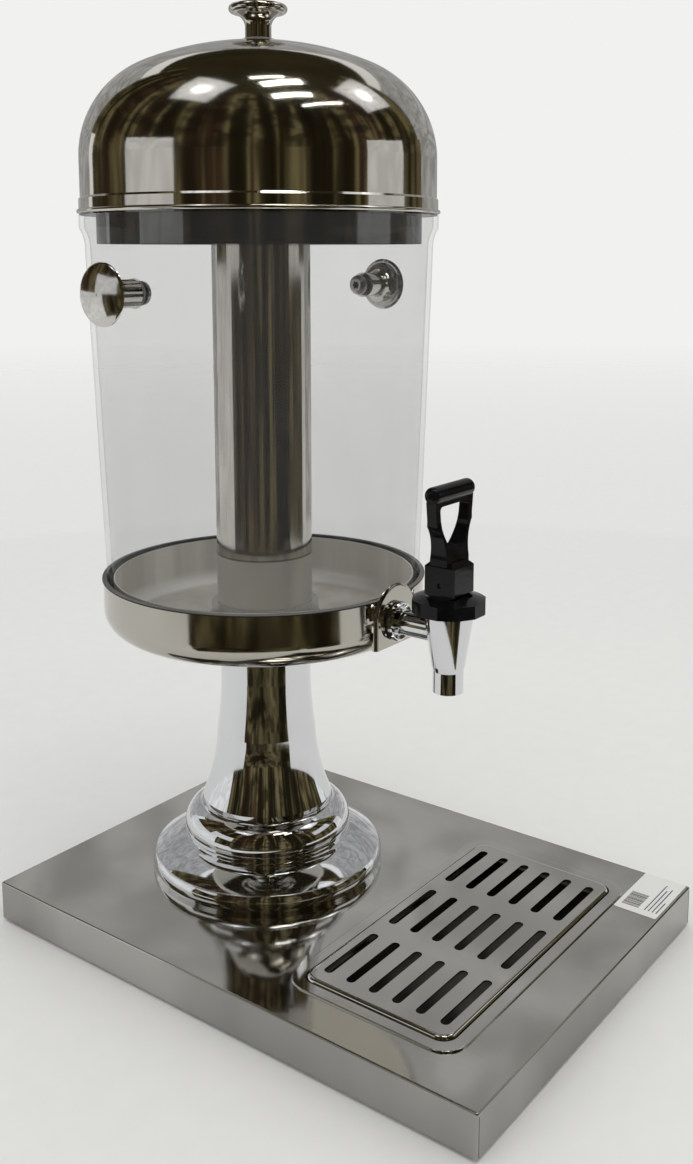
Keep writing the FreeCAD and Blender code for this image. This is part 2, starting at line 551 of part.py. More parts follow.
def make_side_knobs():
    """Two knobs, each held from inside by a screw, with a washer on each face of the wall."""
    wall_out = "(can_neck_radius - 0.8)"
    for side, angle in (("left", -90), ("right", 90)):
        line = {"y": "axis_back", "z": "knob_z", "turn": Rotation(Vector(0, 1, 0), angle)}
        knob = new_body(f"side_knob_{side}", **line)
        start = f"({wall_out} + knob_washer_thick)"
        disc_back = "(knob_face - knob_crown - knob_disc_edge)"
        spin(knob, [("0", f"{start} + 16"), ("screw_radius + 0.05", f"{start} + 16"),
                    ("screw_radius + 0.05", start), ("knob_stem_radius - 0.8", start),
                    ("knob_stem_radius", f"{start} + 0.8"),
                    ("knob_stem_radius", f"{disc_back} - 6", "7.5", -1),
                    ("knob_disc_radius - 1.6", disc_back),
                    ("knob_disc_radius", f"{disc_back} + 1", "2.4", 1),
                    ("knob_disc_radius - 1.2", f"{disc_back} + knob_disc_edge",
                     cap_radius("knob_disc_radius - 1.2", "knob_crown"), 1), ("0", "knob_face")])
        washer(f"side_knob_washer_{side}", "screw_radius + fit_gap", "knob_washer_radius", f"{wall_out} + 0.35",
               start, **line)
        inside = f"({wall_out} - wall - 0.55)"
        washer(f"side_screw_washer_{side}", "screw_radius + fit_gap", "knob_washer_radius*0.8",
               f"{inside} - knob_washer_thick", inside, **line)
        screw = new_body(f"side_screw_{side}", **line)
        head = f"({inside} - knob_washer_thick)"
        spin(screw, [("0", f"{head} - screw_head_height"), ("screw_head*0.62", f"{head} - screw_head_height"),
                     ("screw_head", f"{head} - screw_head_height*0.45"), ("screw_head", head),
                     ("screw_radius", head), ("screw_radius", f"{head} + screw_length"),
                     ("0", f"{head} + screw_length")])
        recess = outline(new_sketch(screw, "XY_Plane", "recess", f"{head} - screw_head_height"),
                         hexagon("screw_head*0.34"))
        extrude(screw, recess, "socket", "screw_head_height*0.6", kind="Pocket", back=True)


# ---- lid -----------------------------------------------------------------------------------------
def crown(wall_radius, shoulder):
    """Where a dome's shoulder arc meets its crown arc, and the crown's radius, as numbers."""
    centre_r, rise = size(wall_radius) - size(shoulder), size("dome_top - lid_wall_top")
    sharp = size(shoulder)
    radius = (centre_r**2 + rise**2 - sharp**2) / (2 * (rise - sharp))
    drop = radius - rise
    reach = math.hypot(centre_r, drop)
    return centre_r + sharp * centre_r / reach, sharp * drop / reach, radius


def make_lid():
    """The domed lid with its rolled bead, and the inner ring that sits in the container's collar."""
    break_r, break_rise, crown_radius = crown("lid_wall_radius", "dome_shoulder")
    thick = size("lid_sheet")
    inner_scale = (size("dome_shoulder") - thick) / size("dome_shoulder")
    centre_r = size("lid_wall_radius - dome_shoulder")
    inner_r = centre_r + (break_r - centre_r) * inner_scale
    inner_rise = break_rise * inner_scale
    dome = new_body("lid_dome", **ON_AXIS)
    bead_low = "lid_bead_z - lid_bead_tube*0.4"
    spin(dome, [("lid_band_radius - lid_sheet", bead_low), ("lid_bead_radius - 0.9", bead_low, "1.3", 1),
                ("lid_bead_radius - 0.3", "lid_bead_z + lid_bead_tube", "1.2", 1),
                ("lid_band_radius", "lid_bead_z + lid_bead_tube + 0.5"),
                ("lid_band_radius", "lid_band_top"), ("lid_wall_radius", "lid_band_top + 1.2"),
                ("lid_wall_radius", "lid_wall_top", "dome_shoulder", 1),
                (f"{break_r}", f"lid_wall_top + {break_rise}", f"{crown_radius}", 1),
                ("0", "dome_top"), ("0", "dome_top - lid_sheet", f"{crown_radius} - lid_sheet", -1),
                (f"{inner_r}", f"lid_wall_top + {inner_rise}", "dome_shoulder - lid_sheet", -1),
                ("lid_wall_radius - lid_sheet", "lid_wall_top"), ("lid_wall_radius - lid_sheet", "lid_band_top"),
                ("lid_band_radius - lid_sheet", "lid_band_top - 1")])
    hole = disc(new_sketch(dome, "XY_Plane", "screw_plan", "dome_top + 1"), "0", "0", "screw_radius + fit_gap")
    extrude(dome, hole, "screw_hole", "lid_sheet*4", kind="Pocket")
    skirt = new_body("lid_skirt", **ON_AXIS)
    flange = "can_top_z"
    spin(skirt, [("skirt_radius - lid_sheet", "skirt_bottom"), ("skirt_radius", "skirt_bottom"),
                 ("skirt_radius", flange), ("skirt_outer", flange), ("skirt_outer", bead_low),
                 ("skirt_radius - lid_sheet", bead_low)])


def make_lid_knob():
    """The trumpet knob on the lid, its pad washer and the screw from inside."""
    foot = "dome_top + 0.05"
    top = "lid_knob_top"
    washer("lid_knob_pad", "screw_radius + fit_gap", "lid_knob_pad", foot, f"{foot} + lid_knob_pad_height", **ON_AXIS)
    knob = new_body("lid_knob", **ON_AXIS)
    start = f"({foot} + lid_knob_pad_height)"
    spin(knob, [("0", f"{start} + 9"), ("screw_radius + 0.05", f"{start} + 9"), ("screw_radius + 0.05", start),
                ("lid_knob_stem", start), ("lid_knob_stem", "lid_knob_waist_z", "8.5", -1),
                ("lid_knob_radius - 1.6", f"{top} - lid_knob_edge", "2.5", 1),
                ("lid_knob_radius - 1.1", top),
                ("lid_knob_radius - 4", top, cap_radius("lid_knob_radius - 4", "lid_knob_dish"), -1),
                ("0", f"{top} - lid_knob_dish")])
    bolt_head = "dome_top - lid_sheet - 0.35"
    screw = new_body("lid_knob_screw", **ON_AXIS)
    spin(screw, [("0", f"{bolt_head} - screw_head_height"), ("screw_head*0.62", f"{bolt_head} - screw_head_height"),
                 ("screw_head", f"{bolt_head} - screw_head_height*0.45"), ("screw_head", bolt_head),
                 ("screw_radius", bolt_head), ("screw_radius", f"{start} + 8"), ("0", f"{start} + 8")])


# ---- tap -----------------------------------------------------------------------------------------
AT_TAP = {"y": "axis_back - tap_reach"}


def make_tap_body():
    """The chrome tap body: a cone over a spout, with a shank that runs back through the pan."""
    body = new_body("tap_body", **AT_TAP)
    spin(body, [("0", "spout_end_z"), ("spout_radius", "spout_end_z"), ("spout_radius", "spout_top_z - 3"),
                ("spout_top", "spout_top_z"), ("cone_top", "cone_top_z - 1.5"), ("cone_top", "cone_top_z"),
                ("neck_thread", "cone_top_z"), ("neck_thread", "neck_thread_top"), ("0", "neck_thread_top")], "cone")
    collar_back = "tap_reach - land_face - ring_gasket_thick - ring_thick + ring_dish"
    shank = disc(new_sketch(body, "XZ_Plane", "shank_plan"), "0", "shank_z", "shank_radius")
    extrude(body, shank, "shank", collar_back, back=True)
    stud = disc(new_sketch(body, "XZ_Plane", "stud_plan"), "0", "shank_z", "shank_neck_radius")
    extrude(body, stud, "stud", "tap_reach - shank_end", back=True)
    spin(body, [("0", "seat_z"), ("spout_top + (seat_z - spout_top_z)*0.15 - tap_wall", "seat_z"),
                ("cone_top - tap_wall - 0.6", "cone_top_z - 2"), ("neck_thread - tap_wall", "cone_top_z"),
                ("neck_thread - tap_wall", "neck_thread_top + 1"), ("0", "neck_thread_top + 1")], "chamber",
         kind="Groove")
    spin(body, [("0", "spout_end_z - 1"), ("spout_bore", "spout_end_z - 1"), ("spout_bore", "seat_z + 1"),
                ("0", "seat_z + 1")], "spout_way", kind="Groove")
    bore = disc(new_sketch(body, "XZ_Plane", "bore_plan"), "0", "shank_z", "shank_bore")
    extrude(body, bore, "bore", "tap_reach - shank_end + 1", kind="Pocket", back=False)
    return body


def make_bonnet():
    """The black twelve sided bonnet that caps the tap body."""
    body = new_body("tap_bonnet", **AT_TAP)
    spin(body, [("neck_thread + 0.1", "bonnet_base_z + 0.05"), ("bonnet_radius", "bonnet_base_z + 0.05"),
                ("bonnet_radius", "bonnet_edge_z"), ("bonnet_flat", "bonnet_top_z"), ("stem_hole", "bonnet_top_z"),
                ("stem_hole", "bonnet_top_z - bonnet_plate"),
                ("neck_thread + 0.1", "bonnet_top_z - bonnet_plate")])
    corners = [(f"bonnet_radius * cos({30 * step + 15} deg)", f"bonnet_radius * sin({30 * step + 15} deg)")
               for step in range(12)]
    facets = outline(new_sketch(body, "XY_Plane", "facet_plan", "bonnet_top_z + 1"), corners)
    disc(facets, "0", "0", "bonnet_radius + 8")
    extrude(body, facets, "facets", "bonnet_top_z - bonnet_base_z + 4", kind="Pocket")


def make_stem():
    """The stem, its seat cup, its spring and the handle pin."""
    pin_z = "bonnet_top_z + pin_rise"
    stem = new_body("tap_stem", **AT_TAP)
    spin(stem, [("0", "seat_z + 3"), ("stem_radius", "seat_z + 3"),
                ("stem_radius", f"{pin_z} + stem_top - 0.8"), ("stem_radius - 0.8", f"{pin_z} + stem_top"),
                ("0", f"{pin_z} + stem_top")])
    hole = disc(new_sketch(stem, "YZ_Plane", "pin_plan"), "0", pin_z, "pin_radius")
    extrude(stem, hole, "pin_hole", "stem_radius*4", kind="Pocket", middle=True)
    cup = new_body("tap_seat_cup", **AT_TAP)
    spin(cup, [("0", "seat_z"), ("cup_radius - 1", "seat_z"), ("cup_radius", "seat_z + 1"),
               ("cup_radius", "seat_z + cup_height*0.6"), ("spring_radius + 1", "seat_z + cup_height"),
               ("stem_radius", "seat_z + cup_height"), ("stem_radius", "seat_z + 3"), ("0", "seat_z + 3")])
    pin = new_body("tap_handle_pin", y="axis_back - tap_reach", z=pin_z, turn=Rotation(Vector(0, 1, 0), 90))
    half = "block_side/2 - 1"
    spin(pin, [("0", f"-({half})"), ("pin_radius", f"-({half})"), ("pin_radius", half), ("0", half)])


def make_spring():
    """The return spring, a helix between the seat cup and the bonnet."""
    low, high = size("seat_z + cup_height + spring_wire/2"), size("bonnet_top_z - bonnet_plate - spring_wire/2")
    height = high - low - 0.1
    helix = doc.addObject("Part::Helix", "spring_helix")
    helix.Height = height
    helix.setExpression("Height", bound("bonnet_top_z - bonnet_plate - seat_z - cup_height - spring_wire - 0.1"))
    helix.Pitch = size("spring_pitch")
    helix.setExpression("Pitch", bound("spring_pitch"))
    helix.Radius = size("spring_radius")
    helix.setExpression("Radius", bound("spring_radius"))
    wire = doc.addObject("Part::RegularPolygon", "spring_wire_section")
    wire.Polygon = WIRE_SIDES
    wire.Circumradius = size("spring_wire/2")
    wire.setExpression("Circumradius", bound("spring_wire/2"))
    wire.Placement = Placement(Vector(size("spring_radius"), 0, 0), TOWARDS_TAP)
    wire.setExpression(".Placement.Base.x", bound("spring_radius"))
    coil = doc.addObject("Part::Sweep", "tap_spring")
    coil.Label = "tap_spring"
    coil.Sections = [wire]
    coil.Spine = (helix, ["Edge1"])
    coil.Solid = True
    coil.Frenet = True
    place(coil, y="axis_back - tap_reach", z="seat_z + cup_height + spring_wire/2 + 0.05")
    NODES.append(coil)


def make_handle():
    """The loop handle: a cam block on the bonnet, two legs that spread into a loop, and a cross bar."""
    body = new_body("tap_handle", **AT_TAP)
    mid = "block_side/2"
    low = "bonnet_top_z"
    pin = f"{low} + pin_rise"
    rise = f"({pin} - sqrt(pin_rise^2 - ({mid} - cam_flat)^2))"
    bevel = f"({mid} - block_bevel)"
    cam = new_sketch(body, "YZ_Plane", "cam_outline")
    outline(cam, [("-cam_flat", low), ("cam_flat", low, "pin_rise", 1), (mid, rise),
                  (mid, "block_top_z - block_bevel"), (bevel, "block_top_z"), (f"-{bevel}", "block_top_z"),
                  (f"-({mid})", "block_top_z - block_bevel"), (f"-({mid})", rise, "pin_rise", 1)])
    extrude(body, cam, "block", "block_side", middle=True)
    shoulders = new_sketch(body, "XZ_Plane", "shoulder_cut")
    for sign in (-1, 1):
        outline(shoulders, [(f"{sign}*({mid} + 1)", "block_top_z + 1"), (f"{sign}*{bevel}", "block_top_z + 0.01"),
                            (f"{sign}*({mid} + 0.01)", "block_top_z - block_bevel"),
                            (f"{sign}*({mid} + 1)", "block_top_z - block_bevel")])
    extrude(body, shoulders, "shoulder_bevel", "block_side*2", kind="Pocket", middle=True)
    front = new_sketch(body, "XZ_Plane", "loop_outline")
    outline(front, [("-loop_waist", "block_top_z - 2"), ("loop_waist", "block_top_z - 2"),
                    ("loop_waist", "block_top_z + 2", "26", -1),
                    ("loop_half - 1.6", "loop_open_mid_z + 5"), ("loop_half", "loop_top_z"),
                    ("-loop_half", "loop_top_z"), ("-(loop_half - 1.6)", "loop_open_mid_z + 5", "26", -1),
                    ("-loop_waist", "block_top_z + 2")])
    extrude(body, front, "loop", "loop_depth_low*2", middle=True)
    side = new_sketch(body, "YZ_Plane", "side_cut")
    for sign in (-1, 1):
        outline(side, [(f"{sign}*(loop_depth_low + 2)", "block_top_z + 1"),
                       (f"{sign}*loop_depth_low", "block_top_z + 1"),
                       (f"{sign}*loop_depth_top", "loop_open_mid_z + 8"),
                       (f"{sign}*loop_depth_top", "loop_top_z + 1"),
                       (f"{sign}*(loop_depth_low + 2)", "loop_top_z + 1")])
    extrude(body, side, "taper", "loop_half*3", kind="Pocket", middle=True)
    window = new_sketch(body, "XZ_Plane", "window")
    outline(window, [("-1.2", "loop_open_low_z", "1.3", 1), ("1.2", "loop_open_low_z", "30", 1),
                     ("loop_open_half - 1.2", "loop_open_mid_z + 4"),
                     ("loop_open_half", "loop_open_top_z - 2.5", "2.5", 1),
                     ("loop_open_half - 2.5", "loop_open_top_z"),
                     ("-(loop_open_half - 2.5)", "loop_open_top_z", "2.5", 1),
                     ("-loop_open_half", "loop_open_top_z - 2.5"),
                     ("-(loop_open_half - 1.2)", "loop_open_mid_z + 4", "30", 1)])
    extrude(body, window, "window_cut", "loop_depth_low*4", kind="Pocket", middle=True)
    bar = new_sketch(body, "XZ_Plane", "bar_outline")
    bar.setExpression(".AttachmentOffset.Base.y", bound("bar_z"))
    doc.recompute()
    outline(bar, [("-bar_half", "0"), ("bar_half", "0"), ("bar_half", "bar_radius - 3.4", "3.4", 1),
                  ("bar_half - 3.4", "bar_radius"), ("-(bar_half - 3.4)", "bar_radius", "3.4", 1),
                  ("-bar_half", "bar_radius - 3.4")])
    turned = body.newObject("PartDesign::Revolution", "tap_handle_bar")
    turned.Profile = bar
    turned.ReferenceAxis = (bar, ["H_Axis"])
    turned.Angle = 360.0
    slot = outline(new_sketch(body, "XY_Plane", "stem_slot", f"{low} - 1"),
                   [("-stem_slot/2", "-stem_slot_front"), ("stem_slot/2", "-stem_slot_front"),
                    ("stem_slot/2", "stem_slot_back"), ("-stem_slot/2", "stem_slot_back")])
    extrude(body, slot, "stem_room", "stem_slot_height + 1", kind="Pocket", back=True)
    hole = disc(new_sketch(body, "YZ_Plane", "pin_plan"), "0", pin, "pin_radius + pin_gap")
    extrude(body, hole, "pin_hole", "block_side*2", kind="Pocket", middle=True)


def make_shank_fittings():
    """Ring and gasket outside the pan, shaped washer and nut inside it."""
    washer("tap_gasket", "shank_neck_radius + fit_gap", "ring_gasket", "land_face", "land_face + ring_gasket_thick",
           **SHANK_LINE)
    ring = new_body("tap_shank_ring", **SHANK_LINE)
    start = "land_face + ring_gasket_thick"
    spin(ring, [("shank_neck_radius + fit_gap", start), ("ring_radius - 0.6", start), ("ring_radius", f"{start} + 0.8"),
                ("ring_radius", f"{start} + ring_thick - 0.8"), ("ring_radius - 0.6", f"{start} + ring_thick"),
                ("ring_radius - 1.2", f"{start} + ring_thick"),
                ("shank_radius + 0.6", f"{start} + ring_thick - ring_dish"),
                ("shank_neck_radius + fit_gap", f"{start} + ring_thick - ring_dish")])
    inside = new_body("tap_inner_washer", **SHANK_LINE)
    spin(inside, [("shank_neck_radius + fit_gap", "shank_washer_face"), ("shank_washer", "shank_washer_face"),
                  ("shank_washer", "liner_radius + 2"), ("shank_neck_radius + fit_gap", "liner_radius + 2")])
    trim = new_sketch(inside, "XZ_Plane", "dish_curve")
    outer = "liner_radius - liner_wall - 0.02"
    disc(trim, "0", "0", outer)
    disc(trim, "0", "0", "liner_radius*1.3")
    extrude(inside, trim, "dish_cut", "shank_washer*4", kind="Pocket", middle=True)
    nut("tap_shank_nut", "shank_nut_flat/2", "shank_neck_radius + fit_gap", "shank_washer_face - shank_nut_height",
        "shank_nut_height", **SHANK_LINE)


make_base_shell()
make_backing_plate()
make_feet()
make_label()
make_tray()
make_grate()
make_pedestal()
make_pan()
make_liner()
make_seal()
make_boss()
make_ice_tube()
make_container()
make_side_knobs()
make_lid()
make_lid_knob()
make_tap_body()
make_bonnet()
make_stem()
make_spring()
make_handle()
make_shank_fittings()
doc.recompute()

faults = [item.Label for item in doc.Objects if {"Invalid", "Error"} & set(item.State)]
if faults:
    raise SystemExit(f"objects that failed: {faults}")
for node in NODES:
    if node.Shape.isNull() or not node.Shape.isValid() or not node.Shape.Solids:
        raise SystemExit(f"{node.Label} has no valid solid")
os.makedirs("parts", exist_ok=True)
for node in NODES:
    node.Shape.exportStep(f"parts/{node.Label}.step")
    box = node.Shape.optimalBoundingBox()
    print(f"{node.Label:24s} {node.Shape.Volume:10.0f} mm3  x {box.XMin:7.1f} {box.XMax:7.1f}"
          f"  y {box.YMin:7.1f} {box.YMax:7.1f}  z {box.ZMin:7.1f} {box.ZMax:7.1f}  {len(node.Shape.Solids)}")
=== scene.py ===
"""Looks of the countertop juice dispenser: its materials, small mesh details, studio and camera.

Metres, +Z up, tap towards -Y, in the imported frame.
"""

import math

import bpy
from mathutils import Euler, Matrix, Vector


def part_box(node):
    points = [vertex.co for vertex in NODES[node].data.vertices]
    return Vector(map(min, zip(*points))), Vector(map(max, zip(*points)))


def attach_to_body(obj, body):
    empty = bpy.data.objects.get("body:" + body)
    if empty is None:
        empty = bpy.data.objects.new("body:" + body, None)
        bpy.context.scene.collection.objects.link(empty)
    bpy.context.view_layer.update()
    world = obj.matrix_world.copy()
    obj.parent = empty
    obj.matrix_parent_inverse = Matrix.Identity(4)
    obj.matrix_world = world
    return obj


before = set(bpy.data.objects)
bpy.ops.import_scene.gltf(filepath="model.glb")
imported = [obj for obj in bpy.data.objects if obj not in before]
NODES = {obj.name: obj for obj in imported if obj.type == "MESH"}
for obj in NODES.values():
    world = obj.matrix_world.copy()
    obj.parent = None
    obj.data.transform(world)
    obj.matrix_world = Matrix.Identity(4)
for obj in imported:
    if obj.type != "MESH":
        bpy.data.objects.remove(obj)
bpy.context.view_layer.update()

# the camera, and the studio round the object, whose directions are told from the camera
CAMERA_PLACE = Vector((-0.5659, -0.4337, 0.4197))
CAMERA_HEADING = -53.13
CAMERA_PITCH = -9.15
FOCAL_MM = 37.73
SENSOR_MM = 36.0
SHIFT = (-0.0082, -0.117)
PALE = (0.88, 0.88, 0.87)
FLOOR_HALF = 9.0

# the cards that stand round the object: how far out, and the heights at which they change
ROOM_REACH = 0.98
TENT_REACH = 0.96
FAR_TENT_REACH = 1.0
CLOTH_REACH = 1.15
TENT_FOOT = 0.385
FAR_TENT_TOP = 0.41
FAR_ROOM_FOOT = 0.40
TENT_TOP = 0.68
ROOM_TOP = 2.2
CLOTH_TOP = 1.5
TABLE_EDGE = 0.34
CARD_ABOVE_FLOOR = 0.0008
SOFTBOX_REACH = 1.15
SOFTBOX_HALF = 0.24

# the tints of the metals
CHROME = (0.74, 0.75, 0.77)
STEEL = (0.63, 0.62, 0.59)
WARM_STEEL = (0.60, 0.58, 0.53)
SATIN_PAN = (0.50, 0.48, 0.43)
# painted shade: the base's walls are tinted darker than its top
BASE_WALL_SHADE = (0.47, 0.465, 0.45)
# painted shade: the tray's well under the grate
TRAY_WELL_SHADE = (0.20, 0.20, 0.19)
# painted shade: a near-black tint for the lid's skirt, standing in for the dark under the lid
PAINTED_SHADE_STEEL = (0.17, 0.17, 0.165)
SPUN_STEEL = (0.93, 0.91, 0.83)

# where a finish changes, or where a painted shade or painted highlight begins, as a distance from a node's
# top or foot; TUBE_LINE is half the line's height
TUBE_SATIN = 0.044
TUBE_LINE = 0.0006
LINER_PAINTED_GLINT = 0.012
FLANGE_DEPTH = 0.0012
BASE_EDGE = 0.0006
SEAL_TOP = 0.0003

# the handle's loop, and the raised land on the pan that carries the tap
LOOP_FOOT = 0.0165
LOOP_RISE = 0.0105
RIB_RADIUS = 0.00055
RIB_DEPTH = 0.0072
LAND_HALF = 0.020
LAND_FLARE = 0.0055
LAND_FOOT = 0.016
RIM_ABOVE_SEAL = 0.0057

# the screws' sockets, and the ink on the sticker
SOCKET_RADIUS = 0.0027
PRINT_THICK = 0.00004

heading = math.radians(CAMERA_HEADING)
TO_CAMERA = Vector((math.sin(heading), -math.cos(heading), 0))
TO_RIGHT = Vector((math.cos(heading), math.sin(heading), 0))


# ---------------------------------------------------------------- node helpers

class Tree:
    """A material's or the world's nodes, with short calls to add and link them."""

    def __init__(self, owner):
        owner.use_nodes = True
        self.tree = owner.node_tree
        self.tree.nodes.clear()

    def add(self, kind, values=None, **settings):
        node = self.tree.nodes.new(kind)
        for name, value in settings.items():
            setattr(node, name, value)
        for name, value in (values or {}).items():
            if isinstance(value, bpy.types.NodeSocket):
                self.tree.links.new(value, node.inputs[name])
            else:
                node.inputs[name].default_value = value
        return node

    def place(self, stretch=(1, 1, 1)):
        """Object coordinates, in metres, stretched along each axis."""
        source = self.add("ShaderNodeTexCoord").outputs["Object"]
        return self.add("ShaderNodeMapping", {"Vector": source, "Scale": stretch}).outputs[0]

    def noise(self, scale, detail=3.0, stretch=(1, 1, 1), rough=0.5, twist=0.0):
        values = {"Vector": self.place(stretch), "Scale": scale, "Detail": detail, "Roughness": rough,
                  "Distortion": twist}
        return self.add("ShaderNodeTexNoise", values).outputs["Fac"]

    def ramp(self, source, *stops):
        """Numbers or colours at positions along a source from 0 to 1."""
        node = self.add("ShaderNodeValToRGB", {"Fac": source})
        points = node.color_ramp.elements
        while len(points) < len(stops):
            points.new(0.5)
        for point, (position, value) in zip(points, stops):
            point.position = position
            shade = value if isinstance(value, tuple) else (value, value, value)
            point.color = (*shade, 1)
        return node.outputs["Color"]

    def maths(self, operation, first, second=0.0):
        node = self.add("ShaderNodeMath", operation=operation)
        for socket, value in zip(node.inputs, (first, second)):
            if isinstance(value, bpy.types.NodeSocket):
                self.tree.links.new(value, socket)
            else:
                socket.default_value = value
        return node.outputs[0]

    def mix(self, share, first, second):
        """A blend of two colours, or of two sources."""
        node = self.add("ShaderNodeMix", data_type="RGBA")
        for socket, value in zip((node.inputs[0], node.inputs[6], node.inputs[7]), (share, first, second)):
            if isinstance(value, bpy.types.NodeSocket):
                self.tree.links.new(value, socket)
            else:
                socket.default_value = (*value, 1) if isinstance(value, tuple) else value
        return node.outputs[2]

    def height(self):
        """The height above the floor, in metres."""
        return self.add("ShaderNodeSeparateXYZ", {"Vector": self.place()}).outputs["Z"]

    def bump(self, *layers):
        """Bumps laid one on another; each layer is (source, strength, depth in metres)."""
        normal = None
        for source, strength, depth in layers:
            values = {"Height": source, "Strength": strength, "Distance": depth}
            if normal:
                values["Normal"] = normal
            normal = self.add("ShaderNodeBump", values).outputs[0]
        return normal

    def finish(self, **values):
        """The surface shader, with constants on its own sockets."""
        shader = self.add("ShaderNodeBsdfPrincipled", {name.replace("_", " "): value
                                                       for name, value in values.items()})
        self.add("ShaderNodeOutputMaterial", {"Surface": shader.outputs[0]})
        return shader


def new_material(name):
    material = bpy.data.materials.new(name)
    return material, Tree(material)


# ---------------------------------------------------------------- materials

def polished_steel(name, tint, polish=0.07, grain=(1, 1, 1), wave=0.0004):
    """Mirror polished sheet: faint waves, hairline scratches, and smudges that dull it in places."""
    material, tree = new_material(name)
    smudge = tree.ramp(tree.noise(9, 5, rough=0.62, twist=0.6), (0.42, 0.0), (0.72, 1.0))
    hairs = tree.noise(900, 2, grain)
    waves = tree.noise(7, 1.5)
    rough = tree.maths("ADD", tree.maths("MULTIPLY", smudge, 0.055), polish)
    rough = tree.maths("ADD", rough, tree.maths("MULTIPLY", hairs, 0.03))
    shade = tree.mix(smudge, tint, tuple(0.93 * part for part in tint))
    normal = tree.bump((waves, 0.5, wave), (hairs, 0.05, 0.00005))
    tree.finish(Base_Color=shade, Metallic=1.0, Roughness=rough, Normal=normal)
    return material


def base_finish(name, top_tint, shaded_wall_tint):
    """The base's sheet: polished all over, its walls given a darker tint than the top as painted shade, with
    long soft painted reflections of cloth folds on them.
    """
    material, tree = new_material(name)
    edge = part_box("base_shell")[1].z - BASE_EDGE
    wall_part = tree.maths("LESS_THAN", tree.height(), edge)
    smudge = tree.ramp(tree.noise(9, 5, rough=0.62, twist=0.6), (0.42, 0.0), (0.72, 1.0))
    hairs = tree.noise(900, 2, (1, 0.03, 1))
    # painted reflections: long soft cloth folds, laid into the walls' colour only
    fold_reflections = tree.ramp(tree.noise(7, 3, (1, 1, 0.4)), (0.38, 0.0), (0.62, 1.0))
    painted_wall_shade = tree.mix(fold_reflections, tuple(0.64 * part for part in shaded_wall_tint), shaded_wall_tint)
    rough = tree.maths("ADD", tree.maths("MULTIPLY", smudge, 0.055), 0.05)
    rough = tree.maths("ADD", rough, tree.maths("MULTIPLY", hairs, 0.03))
    top_shade = tree.mix(smudge, top_tint, tuple(0.93 * part for part in top_tint))
    shade = tree.mix(wall_part, top_shade, painted_wall_shade)
    tree.finish(Base_Color=shade, Metallic=1.0, Roughness=rough,
                Normal=tree.bump((tree.noise(7, 1.5), 0.5, 0.0002), (hairs, 0.05, 0.00005)))
    return material


def tray_finish(name, tint, well_shade_tint):
    """The drip tray: a polished flange, and a rougher well with stains, its tint darkened under the grate as
    painted shade.
    """
    material, tree = new_material(name)
    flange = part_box("drip_tray")[1].z - FLANGE_DEPTH
    below = tree.maths("LESS_THAN", tree.height(), flange)
    stain = tree.ramp(tree.noise(26, 5, rough=0.6, twist=0.8), (0.40, 0.0), (0.70, 1.0))
    hairs = tree.noise(900, 2, (1, 0.03, 1))
    rough = tree.maths("ADD", tree.maths("MULTIPLY", below, 0.24), 0.06)
    rough = tree.maths("ADD", rough, tree.maths("MULTIPLY", stain, 0.05))
    # painted shade: the well below the flange is tinted far darker than the flange
    shaded_well = tree.mix(stain, well_shade_tint, tuple(0.75 * part for part in well_shade_tint))
    tree.finish(Base_Color=tree.mix(below, tint, shaded_well), Metallic=1.0, Roughness=rough,
                Normal=tree.bump((tree.noise(7, 1.5), 0.5, 0.0002), (hairs, 0.05, 0.00005)))
    return material


def spun_steel(name, tint):
    """Satin dish spun on a lathe: fine rings about its axis, soft streaks of painted reflection up its wall,
    and a painted highlight round its corner.
    """
    material, tree = new_material(name)
    low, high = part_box("pan_liner")
    centre = (low + high) / 2
    source = tree.add("ShaderNodeTexCoord").outputs["Object"]
    from_axis = tree.add("ShaderNodeMapping", {"Vector": source, "Location": (-centre.x, -centre.y, 0)})
    rings = tree.add("ShaderNodeTexWave", {"Vector": from_axis.outputs[0], "Scale": 210.0, "Distortion": 1.1,
                                           "Detail": 2.0}, wave_type="RINGS", rings_direction="Z")
    patches = tree.noise(22, 4)
    # painted reflection: soft upright streaks darken the tint in bands, as sheen on the wall
    sheen_streaks = tree.ramp(tree.noise(30, 3, (1, 1, 0.06), rough=0.6), (0.38, 0.0), (0.62, 1.0))
    rough = tree.ramp(rings.outputs["Fac"], (0.0, 0.30), (1.0, 0.42))
    shade = tree.mix(patches, tint, tuple(0.80 * part for part in tint))
    shade = tree.mix(sheen_streaks, tuple(0.66 * part for part in tint), shade)
    # painted highlight: a near-white, less metallic band just above the floor, patchy round the corner
    rise = tree.maths("DIVIDE", tree.maths("SUBTRACT", tree.height(), low.z), LINER_PAINTED_GLINT)
    painted_glint = tree.ramp(rise, (0.10, 0.0), (0.22, 1.0), (0.45, 0.8), (1.0, 0.0))
    painted_glint = tree.maths("MULTIPLY", painted_glint, tree.ramp(tree.noise(9, 2, (1, 1, 0.2)), (0.42, 0.25), (0.60, 1.0)))
    shade = tree.mix(painted_glint, shade, (1.0, 0.99, 0.96))
    normal = tree.bump((rings.outputs["Fac"], 0.16, 0.00008))
    metal = tree.maths("SUBTRACT", 0.42, tree.maths("MULTIPLY", painted_glint, 0.40))
    tree.finish(Base_Color=shade, Metallic=metal, Roughness=rough, Anisotropic=0.55, Normal=normal)
    return material


